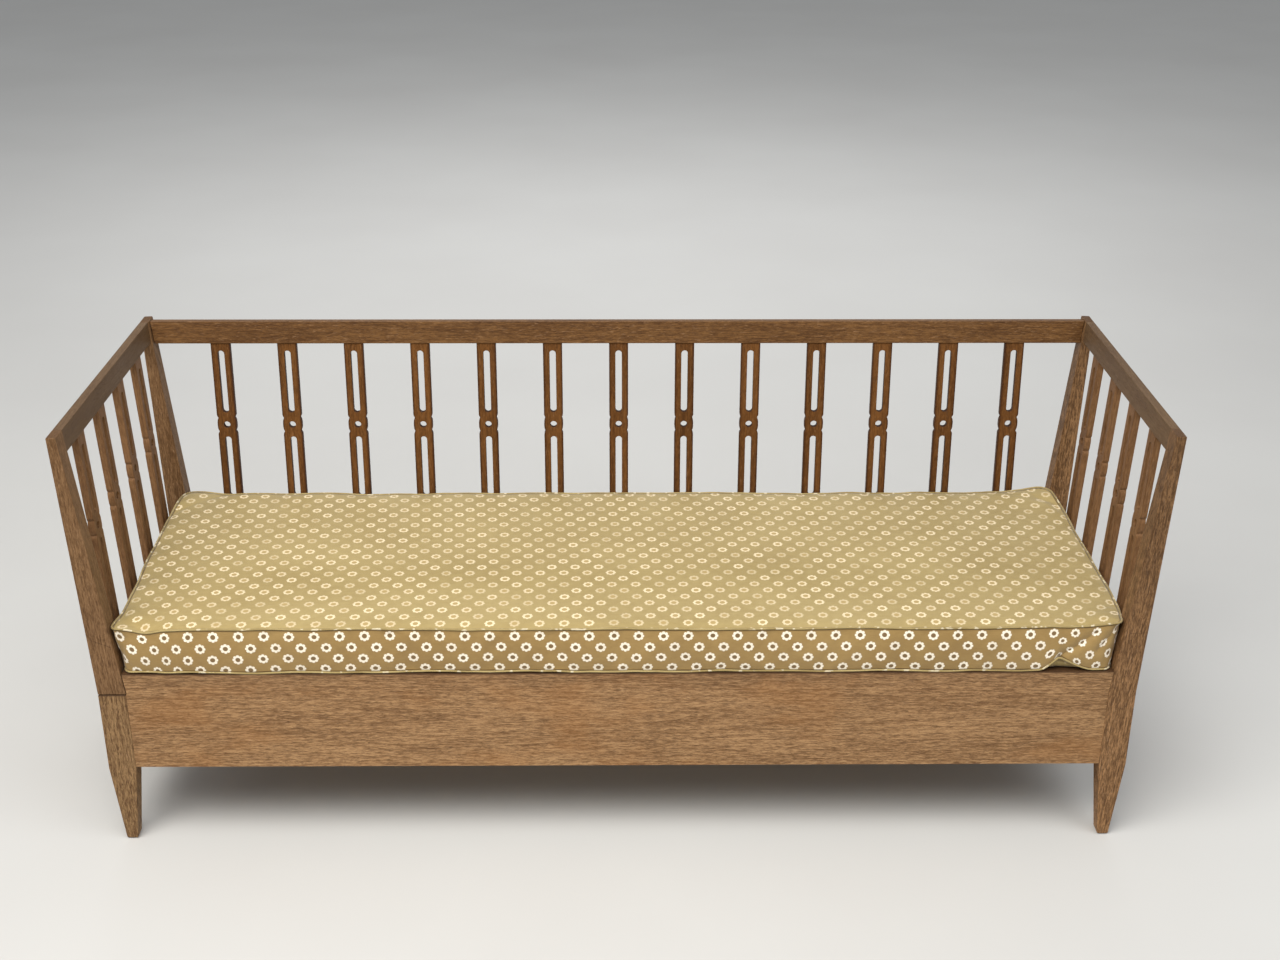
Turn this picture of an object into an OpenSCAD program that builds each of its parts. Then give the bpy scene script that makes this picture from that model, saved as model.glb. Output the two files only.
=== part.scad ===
// Daybed with a slatted back and two slatted ends; the left end folds out level with the seat.
// Millimetres, +Z up, front towards -Y, origin on the floor under the middle of the bed.

/* [Overall] */
// Length over the tops of the two ends
overall_l = 1840; // [1700:10:2100]
// Depth from the front faces of the legs to the rear edge of the ends' tops
overall_d = 612; // [600:2:760]
// Height of the two ends
overall_h = 780; // [760:5:860]

/* [Legs and posts] */
// Half length of the bed over the outer faces of the legs, at seat height
seat_half = 898; // [830:1:1030]
// Width of a leg, seen from the front
post_w = 48; // [44:1:60]
// Width of a post at its top, seen from the front
post_top_w = 16; // [16:1:24]
// Depth of a leg, seen from the side
post_d = 36; // [34:1:48]
// Width of a foot on the floor
foot_w = 19; // [16:1:40]
// Depth of a foot on the floor
foot_d = 26; // [20:1:34]
// Height at which the legs start to taper
foot_top = 150; // [120:5:150]
// Chamfer around the sole of a foot
foot_chamfer = 3; // [1:0.5:5]

/* [Aprons] */
// Height of the lower edge of the aprons
apron_bottom = 152; // [150:1:180]
// Height of the upper edge of the front and rear aprons
apron_top = 340; // [335:1:350]
// Thickness of the front and rear aprons
apron_t = 20; // [18:1:22]
// Thickness of the side aprons
side_apron_t = 15; // [12:0.5:15]
// How far the aprons lie behind the faces of the legs
apron_recess = 1; // [0.5:0.5:1.5]

/* [Folding end] */
// Height of the cut between the left legs and the folding end
cut_h = 300; // [295:1:305]
// Height of the gap at the cut
cut_gap = 1.6; // [1:0.2:3]
// Distance of the hinge axis outside the outer faces of the legs
hinge_out = 2; // [2:0.5:3]

/* [Ends] */
// Height of an end's top rail
end_rail_h = 41; // [36:1:50]
// Height of the holes in the end slats above the cut
end_hole_h = 268; // [262:1:270]
// Distance from the round hole of an end slat to its shoulder in the lower rail
end_slat_down = 208; // [202:1:210]
// Number of slats in an end
end_slats = 4; // [2:1:4]
// Distance between two end slats
end_pitch = 121; // [100:1:121]
// Distance of the middle of the end slats behind the front face
end_slats_y = 302; // [296:1:306]

/* [Back] */
// Angle at which the back leans, in degrees
back_lean = 4; // [2:0.5:5]
// Thickness of the back's rails
back_rail_t = 17; // [16:0.5:18]
// Height of the back's top rail
back_rail_h = 44; // [40:1:50]
// Number of slats in the back
back_slats = 13; // [3:2:13]
// Distance between two back slats
back_pitch = 128.7; // [110:0.1:129]
// How far the back's top rail stays below the tops of the ends
back_drop = 2; // [1:0.5:6]

/* [Slats] */
// Width of a slat
slat_w = 37; // [34:0.5:40]
// Thickness of a slat
slat_t = 12; // [10:0.5:12]
// Width of the two long slots in a slat
slot_w = 12.5; // [8:0.5:14]
// Diameter of the round hole between the slots
hole_d = 13; // [8:0.5:14]
// Distance from the round hole to the near end of a slot
slot_near = 25; // [22:0.5:28]
// Distance from the round hole to the far end of a slot
slot_far = 151; // [120:1:151]
// Distance from the round hole of a back slat to its shoulders in the rails
slat_down = 166; // [160:1:168]
// Distance from the round hole to the nicks in the edges
nick_z = 14; // [12:0.5:16]
// Depth of the nicks
nick_depth = 2.8; // [1:0.1:5]
// Length of edge that curves into a nick from the long side
nick_reach = 7; // [4:0.5:8]

/* [Seat base] */
// Thickness of the base slats
base_t = 14; // [12:1:14]
// Width of the base slats
base_w = 70; // [60:1:80]
// Number of base slats
base_count = 11; // [8:1:12]
// Width of the stop board at the folding end
stop_board_w = 90; // [80:1:95]

/* [Mattress] */
// Length of the mattress between the slats of the two ends
mattress_l = 1744; // [1500:2:1744]
// How far the front posts pinch in each front corner of the mattress
mattress_pinch = 32; // [32:2:60]
// Thickness of the mattress
mattress_h = 87; // [70:1:110]
// Depth of the mattress
mattress_d = 550; // [520:1:550]

/* [Hidden] */

$fn = 48;
eps = 0.01;
glue_gap = 0.05;          // Clearance between a tenon, dowel or screw and its hole

oak = "#8a6238";
oak_light = "#a67c4c";
steel = "#8e9094";
brass = "#b08d4a";
cloth = "#b59a55";

front_y = -overall_d / 2;
rear_top_y = overall_d / 2;
end_lean = atan2(overall_l / 2 - seat_half, overall_h - cut_h);
panel_l = (overall_h - cut_h - post_top_w * sin(end_lean)) / cos(end_lean);
rear_y = rear_top_y - (overall_h - cut_h) * tan(back_lean);
post_in = seat_half - post_w;          // Half length between the legs
post_in_top = seat_half - post_top_w * cos(end_lean) + panel_l * sin(end_lean);
above_all = overall_h + 40;            // Height that clears the whole bed
across = 200;                          // Length that clears a post sideways

// Tenons
tenon_t = 8;
tenon_l = 14;
tenon_short = 9;
tenon_shoulder = 6;
apron_tenon_edge = 16;
apron_tenon_low = apron_bottom + apron_tenon_edge;
apron_tenon_high = cut_h - apron_tenon_edge;
front_tenon_y = front_y + apron_recess + tenon_shoulder;
rear_tenon_y = rear_y - apron_recess - apron_t + tenon_shoulder;
bead_power = 3;           // How squarely the bead between the nicks is rounded
slat_tenon_w = 26;
slat_tenon_t = 8;
slat_tenon_l = 11;

// Hinges
pin_r = 2;
pin_end = 1;
running_gap = 0.05;
knuckle_r = 3.5;
knuckle_gap = 0.3;
leaf_t = 2;
leaf_w = 66;
leaf_h = 34;
leaf_start = 2;
leaf_third = leaf_w / 3;
leaf_screw_ys = [-22, 0, 22];
leaf_screw_z = 22;
hinge_inset = 130;
hinge_ys = [front_y + hinge_inset, rear_y - hinge_inset];
hinge_x = -seat_half - hinge_out;

// Round-headed screws
round_screw_r = 2;
round_screw_head_r = 4;

// Small countersunk screws
screw_r = 1.75;
screw_head_r = 3.4;
screw_head_h = 1.4;
screw_l = 12;

// Ends, measured up and inwards from the outer edge of the cut, along the lean
end_rail_z = panel_l - end_rail_h;
end_lower_top = end_hole_h - end_slat_down;
end_lower_x = knuckle_r - hinge_out * cos(end_lean);
end_lower_t = 16;
left_lower_z = 2;
right_lower_z = 32;
end_slat_x = (post_top_w - slat_t) / 2;
end_slat_up = end_rail_z - end_hole_h;
end_top_tenon_x = (post_top_w - tenon_t) / 2;
end_lower_tenon_x = end_lower_x + (end_lower_t - tenon_t) / 2;
side_apron_x = seat_half + hinge_out - knuckle_r;
side_tenon_x = -side_apron_x + (side_apron_t - tenon_t) / 2;
left_apron_drop = 2;
right_apron_drop = 10;
apron_end_gap = 1.5;      // Between the folding posts and the aprons' left ends
apron_end_fit = 0.3;      // Between the right posts and the aprons' right ends

// Back, measured up and backwards from the top edge of the rear apron, along the lean
back_l = (overall_h - back_drop - apron_top) / cos(back_lean);
back_inset = 25;
back_y = rear_y - back_inset;
back_hole_z = back_l - back_rail_h - slat_down;
back_lower_top = back_hole_z - slat_down;
back_lower_sink = 2;
back_lower_tenon_z = 1;
back_slat_y = (back_rail_t - slat_t) / 2;
back_end_gap = 1;
dowel_r = 4;
dowel_l = 40;
dowel_y = rear_y - (apron_recess + apron_t + back_inset - back_rail_t) / 2;
dowel_count = 6;
dowel_pitch = 2 * back_pitch;

// Seat base
ledger_w = 20;
ledger_h = 22;
base_drop = 2;
base_top = apron_top - base_drop;
base_gap = 1;
base_l = rear_y - apron_recess - apron_t - (front_y + apron_recess + apron_t) - 2 * base_gap;
base_y = front_y + apron_recess + apron_t + base_gap;
stop_board_gap = 6;
stop_board_x = -post_in + stop_board_gap;
base_first_gap = 45;
base_first_x = stop_board_x + stop_board_w + base_first_gap;
base_pitch = (post_in - base_first_x - base_w) / (base_count - 1);
ledger_screw_l = 34;
ledger_screw_count = 7;
ledger_screw_pitch = 260;
block_l = 50;
block_d = 38;
block_h = 60;

// Lever bars, which come up under the stop board when the end is down
bar_t = 4;
bar_w = 30;
bar_up = 50;
bar_down = 138;
bar_x = end_lower_x + end_lower_t;
bar_inset = 80;
bar_ys = [front_y + bar_inset, rear_y - bar_inset];
bar_screw_zs = [11, 26, 41];

// Turn buttons behind the left side apron: turned level, they stop the lever bars
button_t = 8;
button_w = 20;
button_reach = 28;
button_off = 22;
button_z = 215;
button_ys = [bar_ys[0] + bar_w / 2 + button_off, bar_ys[1] - bar_w / 2 - button_off];
spacer_t = 11.5;
spacer_r = 9;
spacer_x = -side_apron_x + side_apron_t;
button_x = spacer_x + spacer_t;
button_screw_l = 28;

// Clearance under the mattress, and how its corners narrow towards the posts
mattress_gap = 0.5;
mattress_front_run = 90;
mattress_rear_cut = [24, 28];

// Extrudes an outline drawn in X and Z along Y, from y0 to y1
module along_y(y0, y1) {
    translate([0, y1, 0]) rotate([90, 0, 0]) linear_extrude(y1 - y0) children();
}

// Extrudes an outline drawn in Y and Z along X, from x0 to x1
module along_x(x0, x1) {
    translate([x0, 0, 0]) rotate([90, 0, 90]) linear_extrude(x1 - x0) children();
}

// Places children in the left end: X inwards, Z up along the lean, from the outer edge of the cut
module in_left_end() {
    translate([-seat_half, 0, cut_h]) rotate([0, -end_lean, 0]) children();
}

// Places children in the back: Y backwards, Z up along the lean, from the rear apron's top
module in_back() {
    translate([0, back_y, apron_top]) rotate([-back_lean, 0, 0]) children();
}

module box(low, high) {
    translate(low) cube(high - low);
}

module rod_x(x0, x1, r) {
    translate([x0, 0, 0]) rotate([0, 90, 0]) cylinder(h = x1 - x0, r = r);
}

module rod_y(y0, y1, r) {
    translate([0, y0, 0]) rotate([-90, 0, 0]) cylinder(h = y1 - y0, r = r);
}

// Point of the left end's outline in X and Z, a inwards and b up along the lean
function end_xz(a, b) = [
    -seat_half + a * cos(end_lean) - b * sin(end_lean),
    cut_h + a * sin(end_lean) + b * cos(end_lean)];

// Depth of the edge cut at height z from the round hole
function nick(z) = nick_depth * (abs(z) < nick_z
    ? pow(abs(z) / nick_z, bead_power)
    : pow(max(0, 1 - (abs(z) - nick_z) / nick_reach), 2));

// ---------- Posts and legs ----------

// Left post above the cut, seen from the front
module upper_outline_xz() {
    polygon([[-seat_half, cut_h], end_xz(0, panel_l), end_xz(post_top_w, panel_l),
             [-post_in, cut_h]]);
}

// Left leg below the cut, seen from the front
module leg_outline_xz() {
    middle = -seat_half + post_w / 2;
    slope = (post_w - foot_w) / 2 / foot_top;
    polygon([
        [-seat_half, cut_h], [-post_in, cut_h], [-post_in, foot_top],
        [middle + foot_w / 2 + slope * foot_chamfer, foot_chamfer],
        [middle + foot_w / 2 - foot_chamfer, 0],
        [middle - foot_w / 2 + foot_chamfer, 0],
        [middle - foot_w / 2 - slope * foot_chamfer, foot_chamfer],
        [-seat_half, foot_top]]);
}

// Front post from the side: upright, with the foot tapered at the back
module front_outline_yz() {
    polygon([
        [front_y + foot_chamfer, 0], [front_y, foot_chamfer], [front_y, above_all],
        [front_y + post_d, above_all], [front_y + post_d, foot_top],
        [front_y + foot_d, foot_chamfer], [front_y + foot_d - foot_chamfer, 0]]);
}

// Rear post from the side: it leans with the back above the cut
module rear_outline_yz() {
    shift = (above_all - cut_h) * tan(back_lean);
    polygon([
        [rear_y - foot_chamfer, 0], [rear_y, foot_chamfer], [rear_y, cut_h],
        [rear_y + shift, above_all], [rear_y - post_d + shift, above_all],
        [rear_y - post_d, cut_h], [rear_y - post_d, foot_top],
        [rear_y - foot_d, foot_chamfer], [rear_y - foot_d + foot_chamfer, 0]]);
}

module apron_tenon_space(y) {
    box([-post_in - tenon_l - glue_gap, y - glue_gap, apron_tenon_low - glue_gap],
        [-post_in + eps, y + tenon_t + glue_gap, apron_tenon_high + glue_gap]);
}

// Mortise for a side apron's tenon, in a leg whose inner side is at y
module side_tenon_space(y, inwards) {
    box([side_tenon_x - glue_gap, y - (inwards > 0 ? eps : tenon_l + glue_gap),
         apron_tenon_low - glue_gap],
        [side_tenon_x + tenon_t + glue_gap, y + (inwards > 0 ? tenon_l + glue_gap : eps),
         apron_tenon_high + glue_gap]);
}

module left_leg_body(front) {
    intersection() {
        along_y(front_y - eps, rear_top_y) leg_outline_xz();
        along_x(-seat_half - across, -post_in + across)
            if (front) front_outline_yz(); else rear_outline_yz();
        box([-seat_half - across, front_y - eps, 0],
            [0, rear_top_y, cut_h - cut_gap / 2]);
    }
}

module left_front_leg() {
    color(oak) difference() {
        left_leg_body(true);
        apron_tenon_space(front_tenon_y);
        side_tenon_space(front_y + post_d, -1);
    }
}

module left_rear_leg() {
    color(oak) difference() {
        left_leg_body(false);
        apron_tenon_space(rear_tenon_y);
        side_tenon_space(rear_y - post_d, 1);
    }
}

// Y of the rear post's front face at height b in the end
function rear_post_y(b) = rear_y - post_d + b * cos(end_lean) * tan(back_lean);

// Mortises for the end's two rails, in both posts
module end_rail_tenon_spaces(lower_z) {
    in_left_end() {
        end_rail_tenon(end_top_tenon_x, end_rail_z + tenon_shoulder,
                       panel_l - tenon_shoulder, glue_gap);
        end_rail_tenon(end_lower_tenon_x, lower_z + tenon_shoulder,
                       end_lower_top - tenon_shoulder, glue_gap);
    }
}

// Board that runs from tenon to tenon between the front and rear posts
module end_rail_tenon(x, low, high, gap) {
    box([x - gap, front_y + post_d - tenon_l - gap, low - gap],
        [x + tenon_t + gap, rear_post_y(low) + tenon_short + gap, high + gap]);
}

module upper_post_body(front, low) {
    intersection() {
        along_y(front_y - eps, rear_top_y + across) upper_outline_xz();
        along_x(-seat_half - across, -post_in + across)
            if (front) front_outline_yz(); else rear_outline_yz();
        box([-seat_half - across, front_y - eps, low], [0, rear_top_y + across, above_all]);
    }
}

module left_front_post() {
    color(oak) difference() {
        upper_post_body(true, cut_h + cut_gap / 2);
        end_rail_tenon_spaces(left_lower_z);
    }
}

module left_rear_post() {
    color(oak) difference() {
        upper_post_body(false, cut_h + cut_gap / 2);
        end_rail_tenon_spaces(left_lower_z);
    }
}

module right_post_body(front) {
    mirror([1, 0, 0]) union() {
        intersection() {
            along_y(front_y - eps, rear_top_y + across) {
                leg_outline_xz();
                upper_outline_xz();
            }
            along_x(-seat_half - across, -post_in + across)
                if (front) front_outline_yz(); else rear_outline_yz();
        }
    }
}

module right_front_post() {
    color(oak) difference() {
        right_post_body(true);
        mirror([1, 0, 0]) {
            apron_tenon_space(front_tenon_y);
            side_tenon_space(front_y + post_d, -1);
            end_rail_tenon_spaces(right_lower_z);
        }
    }
}

module right_rear_post() {
    color(oak) difference() {
        right_post_body(false);
        mirror([1, 0, 0]) {
            apron_tenon_space(rear_tenon_y);
            side_tenon_space(rear_y - post_d, 1);
            end_rail_tenon_spaces(right_lower_z);
            back_rail_tenon(back_l - back_rail_h, back_l, glue_gap);
            back_rail_tenon(back_lower_tenon_z, back_lower_top, glue_gap);
        }
    }
}

// ---------- Slats ----------

// A slat, its width along X and its front face at Y 0, with the round hole at the origin
module slat(down, up) {
    steps = 8;
    slot_margin = slat_down - slot_far;
    zs = concat(
        [for (i = [-steps : -1]) i * nick_reach / steps - nick_z],
        [for (i = [-steps : steps]) i * nick_z / steps],
        [for (i = [1 : steps]) i * nick_reach / steps + nick_z]);
    difference() {
        union() {
            along_y(0, slat_t) polygon(concat(
                [[slat_w / 2, -down]],
                [for (z = zs) [slat_w / 2 - nick(z), z]],
                [[slat_w / 2, up], [-slat_w / 2, up]],
                [for (z = zs) [-slat_w / 2 + nick(z), -z]],
                [[-slat_w / 2, -down]]));
            slat_tenon(-down - slat_tenon_l, up + slat_tenon_l, 0);
        }
        rod_y(-eps, slat_t + eps, hole_d / 2);
        slot(slot_far);
        rotate([0, 180, 0]) slot(down - slot_margin);
    }
}

// A long slot above the round hole, up to a distance from it
module slot(far) {
    low = slot_near + slot_w / 2;
    high = far - slot_w / 2;
    box([-slot_w / 2, -eps, low], [slot_w / 2, slat_t + eps, high]);
    for (z = [low, high]) translate([0, 0, z]) rod_y(-eps, slat_t + eps, slot_w / 2);
}

// The slat's tenons, as one bar through it
module slat_tenon(low, high, gap) {
    middle = slat_t / 2;
    box([-slat_tenon_w / 2 - gap, middle - slat_tenon_t / 2 - gap, low - gap],
        [slat_tenon_w / 2 + gap, middle + slat_tenon_t / 2 + gap, high + gap]);
}

// Places a slat of the left end, with its width along Y
module at_end_slat(i) {
    y = front_y + end_slats_y + (i - (end_slats + 1) / 2) * end_pitch;
    in_left_end() translate([end_slat_x, y, end_hole_h]) rotate([0, 0, 90]) mirror([0, 1, 0])
        children();
}

module at_back_slat(i) {
    in_back() translate([(i - (back_slats + 1) / 2) * back_pitch, back_slat_y, back_hole_z])
        children();
}

module left_slat(i) {
    color(oak) at_end_slat(i) slat(end_slat_down, end_slat_up);
}

module right_slat(i) {
    color(oak) mirror([1, 0, 0]) at_end_slat(i) slat(end_slat_down, end_slat_up);
}

module back_slat(i) {
    color(oak) at_back_slat(i) slat(slat_down, slat_down);
}

// ---------- Rails of the ends ----------

// A rail of the left end with its tenons; its rear end follows the leaning rear post
module end_rail(x, t, low, high) {
    difference() {
        in_left_end() {
            along_x(x, x + t) polygon([
                [front_y + post_d, low], [rear_post_y(low), low],
                [rear_post_y(high), high], [front_y + post_d, high]]);
            end_rail_tenon(x + (t - tenon_t) / 2, low + tenon_shoulder, high - tenon_shoulder, 0);
        }
        for (i = [1 : end_slats]) at_end_slat(i)
            slat_tenon(-end_slat_down - slat_tenon_l, end_slat_up + slat_tenon_l, glue_gap);
    }
}

module left_top_rail() {
    color(oak_light) end_rail(0, post_top_w, end_rail_z, panel_l);
}

module left_lower_rail() {
    color(oak) difference() {
        end_rail(end_lower_x, end_lower_t, left_lower_z, end_lower_top);
        at_moving_screws() screw_hole();
        at_bar_screws() screw_hole();
    }
}

module right_top_rail() {
    color(oak_light) mirror([1, 0, 0]) end_rail(0, post_top_w, end_rail_z, panel_l);
}

module right_lower_rail() {
    color(oak) mirror([1, 0, 0])
        end_rail(end_lower_x, end_lower_t, right_lower_z, end_lower_top);
}

// ---------- Back ----------

// Distance of a post's inner face from the middle of the bed, at height z
function post_in_at(z) = post_in
    + (z - cut_h) / (overall_h - cut_h) * (post_in_top - post_in);

// A back rail between the posts: its ends follow their tapered sides
module back_rail(low, high, left_gap) {
    intersection() {
        in_back() box([-overall_l, 0, low], [overall_l, back_rail_t, high]);
        along_y(front_y, rear_top_y) polygon([
            [-post_in + left_gap, cut_h], [post_in, cut_h],
            [post_in_at(above_all), above_all], [-post_in_at(above_all) + left_gap, above_all]]);
    }
}

// Tenon of a back rail at its fixed end, mirrored to the left
module back_rail_tenon(low, high, gap) {
    x = post_in_at(apron_top + low * cos(back_lean));
    in_back() box(
        [-x - tenon_short - gap, (back_rail_t - tenon_t) / 2 - gap, low + tenon_shoulder - gap],
        [-x + tenon_l, (back_rail_t + tenon_t) / 2 + gap, high - tenon_shoulder + gap]);
}

module back_slat_spaces() {
    for (i = [1 : back_slats]) at_back_slat(i)
        slat_tenon(-slat_down - slat_tenon_l, slat_down + slat_tenon_l, glue_gap);
}

module back_top_rail() {
    low = back_l - back_rail_h;
    color(oak_light) difference() {
        union() {
            back_rail(low, back_l, back_end_gap);
            mirror([1, 0, 0]) back_rail_tenon(low, back_l, 0);
        }
        back_slat_spaces();
    }
}

// The lower rail stands on the rear apron, so its underside is cut level
module back_lower_rail() {
    color(oak) difference() {
        union() {
            back_rail(-back_lower_sink, back_lower_top, back_end_gap);
            mirror([1, 0, 0]) back_rail_tenon(back_lower_tenon_z, back_lower_top, 0);
        }
        box([-overall_l, front_y, apron_top - across], [overall_l, rear_top_y, apron_top]);
        back_slat_spaces();
        dowel_set(dowel_r + glue_gap, glue_gap);
    }
}

module dowel_set(r, gap) {
    for (i = [1 : dowel_count]) {
        x = (i - (dowel_count + 1) / 2) * dowel_pitch;
        translate([x, dowel_y, apron_top - dowel_l / 2 - gap])
            cylinder(h = dowel_l + 2 * gap, r = r);
    }
}

module back_dowels() {
    color(oak_light) dowel_set(dowel_r, 0);
}

// ---------- Aprons ----------

// A long apron and its two tenons, its front face at y. Above the cut its ends follow the posts
module long_apron(y) {
    top = post_in_at(apron_top);
    along_y(y, y + apron_t) polygon([
        [-post_in, apron_bottom], [post_in, apron_bottom], [post_in, cut_h],
        [top - apron_end_fit, apron_top], [-top + apron_end_gap, apron_top],
        [-post_in + apron_end_gap, cut_h], [-post_in, cut_h]]);
    box([-post_in - tenon_l, y + tenon_shoulder, apron_tenon_low],
        [post_in + tenon_l, y + tenon_shoulder + tenon_t, apron_tenon_high]);
}

module front_apron() {
    color(oak_light) difference() {
        long_apron(front_y + apron_recess);
        ledger_screw_holes(true);
    }
}

module rear_apron() {
    color(oak_light) difference() {
        long_apron(rear_y - apron_recess - apron_t);
        ledger_screw_holes(false);
        dowel_set(dowel_r + glue_gap, glue_gap);
    }
}

// Side apron on the left, between the legs
module side_apron(top) {
    box([-side_apron_x, front_y + post_d, apron_bottom],
        [-side_apron_x + side_apron_t, rear_y - post_d, top]);
    box([side_tenon_x, front_y + post_d - tenon_l, apron_tenon_low],
        [side_tenon_x + tenon_t, rear_y - post_d + tenon_l, apron_tenon_high]);
}

module left_side_apron() {
    color(oak) difference() {
        side_apron(cut_h - left_apron_drop);
        at_fixed_screws() screw_hole();
        button_screw_holes(glue_gap);
    }
}

module right_side_apron() {
    color(oak) mirror([1, 0, 0]) side_apron(apron_top - right_apron_drop);
}

// ---------- Seat base ----------

module corner_blocks() {
    color(oak) for (s = [-1, 1], front = [true, false]) {
        y = front ? front_y + apron_recess + apron_t : rear_y - apron_recess - apron_t;
        d = front ? block_d : -block_d;
        translate([0, 0, (apron_bottom + cut_h - block_h) / 2]) linear_extrude(block_h)
            polygon([[s * post_in, y], [s * (post_in - block_l), y], [s * post_in, y + d]]);
    }
}

module ledger_body(y) {
    ledger_half = post_in - base_gap;
    box([-ledger_half, y, base_top - base_t - ledger_h], [ledger_half, y + ledger_w,
         base_top - base_t]);
}

module front_ledger() {
    color(oak) difference() {
        ledger_body(front_y + apron_recess + apron_t);
        ledger_screw_holes(true);
    }
}

module rear_ledger() {
    color(oak) difference() {
        ledger_body(rear_y - apron_recess - apron_t - ledger_w);
        ledger_screw_holes(false);
    }
}

// Places a screw through a ledger into its apron, its head on the ledger's inner side
module at_ledger_screws(front) {
    y = front ? front_y + apron_recess + apron_t + ledger_w
              : rear_y - apron_recess - apron_t - ledger_w;
    for (i = [1 : ledger_screw_count])
        translate([(i - (ledger_screw_count + 1) / 2) * ledger_screw_pitch, y,
                   base_top - base_t - ledger_h / 2])
            rotate([front ? 90 : -90, 0, 0]) children();
}

module ledger_screw_holes(front) {
    at_ledger_screws(front) translate([0, 0, -eps])
        cylinder(h = ledger_screw_l + glue_gap, r = round_screw_r + glue_gap);
}

module ledger_screws() {
    color(steel) for (front = [true, false]) at_ledger_screws(front) {
        cylinder(h = ledger_screw_l, r = round_screw_r);
        translate([0, 0, -screw_head_h]) cylinder(h = screw_head_h, r = round_screw_head_r);
    }
}

module base_board(x, w) {
    box([x, base_y, base_top - base_t], [x + w, base_y + base_l, base_top]);
}

module stop_board() {
    color(oak) base_board(stop_board_x, stop_board_w);
}

module base_slats() {
    color(oak_light) for (i = [0 : base_count - 1])
        base_board(base_first_x + i * base_pitch, base_w);
}

// ---------- Hinges ----------

module screw() {
    cylinder(h = screw_l, r = screw_r);
    cylinder(h = screw_head_h, r1 = screw_head_r, r2 = screw_r);
}

module screw_hole() {
    translate([0, 0, -eps]) cylinder(h = screw_l + eps + glue_gap, r = screw_r + glue_gap);
}

module screw_countersink() {
    screw_hole();
    translate([0, 0, -eps]) cylinder(h = screw_head_h + eps, r1 = screw_head_r + glue_gap,
                                     r2 = screw_r + glue_gap);
}

// Hinge knuckle around the hinge axis, from y0 to y1
module knuckle(y0, y1) {
    rod_y(y0, y1, knuckle_r);
}

module at_hinges() {
    for (y = hinge_ys) translate([hinge_x, y, cut_h]) children();
}

// Screw places of a leaf that hangs down from the hinge axis, pointing inwards
module at_leaf_screws(dir) {
    for (y = leaf_screw_ys) translate([knuckle_r - leaf_t, y, dir * leaf_screw_z])
        rotate([0, 90, 0]) children();
}

module at_fixed_screws() {
    at_hinges() at_leaf_screws(-1) children();
}

module at_moving_screws() {
    at_hinges() rotate([0, -end_lean, 0]) at_leaf_screws(1) children();
}

module hinge_fixed_leaves() {
    color(brass) difference() {
        at_hinges() difference() {
            union() {
                box([knuckle_r - leaf_t, -leaf_w / 2, -leaf_h], [knuckle_r, leaf_w / 2, 0]);
                knuckle(-leaf_w / 2, -leaf_third / 2);
                knuckle(leaf_third / 2, leaf_w / 2);
            }
            box([-knuckle_r - eps, -leaf_third / 2, -knuckle_r - knuckle_gap],
                [knuckle_r + eps, leaf_third / 2, knuckle_r + eps]);
            knuckle_bore();
        }
        at_fixed_screws() screw_countersink();
    }
}

module knuckle_bore() {
    rod_y(-leaf_w, leaf_w, pin_r + running_gap);
}

module hinge_moving_leaves() {
    color(brass) difference() {
        at_hinges() rotate([0, -end_lean, 0]) difference() {
            union() {
                box([knuckle_r - leaf_t, -leaf_w / 2, leaf_start],
                    [knuckle_r, leaf_w / 2, leaf_h]);
                box([knuckle_r - leaf_t, -leaf_third / 2 + knuckle_gap, 0],
                    [knuckle_r, leaf_third / 2 - knuckle_gap, leaf_h]);
                knuckle(-leaf_third / 2 + knuckle_gap, leaf_third / 2 - knuckle_gap);
            }
            for (s = [-1, 1]) translate([0, s * leaf_third, 0])
                rod_y(-leaf_third / 2 - knuckle_gap, leaf_third / 2 + knuckle_gap, knuckle_r + knuckle_gap);
            knuckle_bore();
        }
        at_moving_screws() screw_countersink();
    }
}

module hinge_pins() {
    color(steel) at_hinges() rod_y(-leaf_w / 2 - pin_end, leaf_w / 2 + pin_end, pin_r);
}

module hinge_screws_fixed() {
    color(brass) at_fixed_screws() screw();
}

module hinge_screws_moving() {
    color(brass) at_moving_screws() screw();
}

// ---------- Lever bars ----------

module at_bar_screws() {
    in_left_end() for (y = bar_ys, z = bar_screw_zs) translate([bar_x + bar_t, y, z])
        rotate([0, -90, 0]) children();
}

module lever_bars() {
    color(steel) difference() {
        in_left_end() for (y = bar_ys)
            box([bar_x, y - bar_w / 2, -bar_down], [bar_x + bar_t, y + bar_w / 2, bar_up]);
        at_bar_screws() screw_countersink();
    }
}

module lever_screws() {
    color(steel) at_bar_screws() screw();
}

// ---------- Turn buttons ----------

// Places children on a button's turning axis, X pointing into the bed
module at_button(i) {
    translate([button_x, button_ys[i], button_z]) children();
}

// A turn button, hanging down at rest
module turn_button(i) {
    color(oak) at_button(i) difference() {
        union() {
            box([0, -button_w / 2, -button_reach], [button_t, button_w / 2, 0]);
            for (z = [-button_reach, 0]) translate([0, 0, z]) rod_x(0, button_t, button_w / 2);
        }
        rod_x(-eps, button_t + eps, round_screw_r + running_gap);
    }
}

module button_spacers() {
    color(oak) difference() {
        for (i = [0, 1]) at_button(i) rod_x(-spacer_t, 0, spacer_r);
        button_screw_holes(glue_gap);
    }
}

module button_screw_holes(gap) {
    for (i = [0, 1]) at_button(i)
        rod_x(button_t - button_screw_l - gap, eps, round_screw_r + gap);
}

module button_screws() {
    color(steel) for (i = [0, 1]) at_button(i) {
        rod_x(button_t - button_screw_l, button_t, round_screw_r);
        rod_x(button_t, button_t + screw_head_h, round_screw_head_r);
    }
}

// ---------- Mattress ----------

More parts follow.
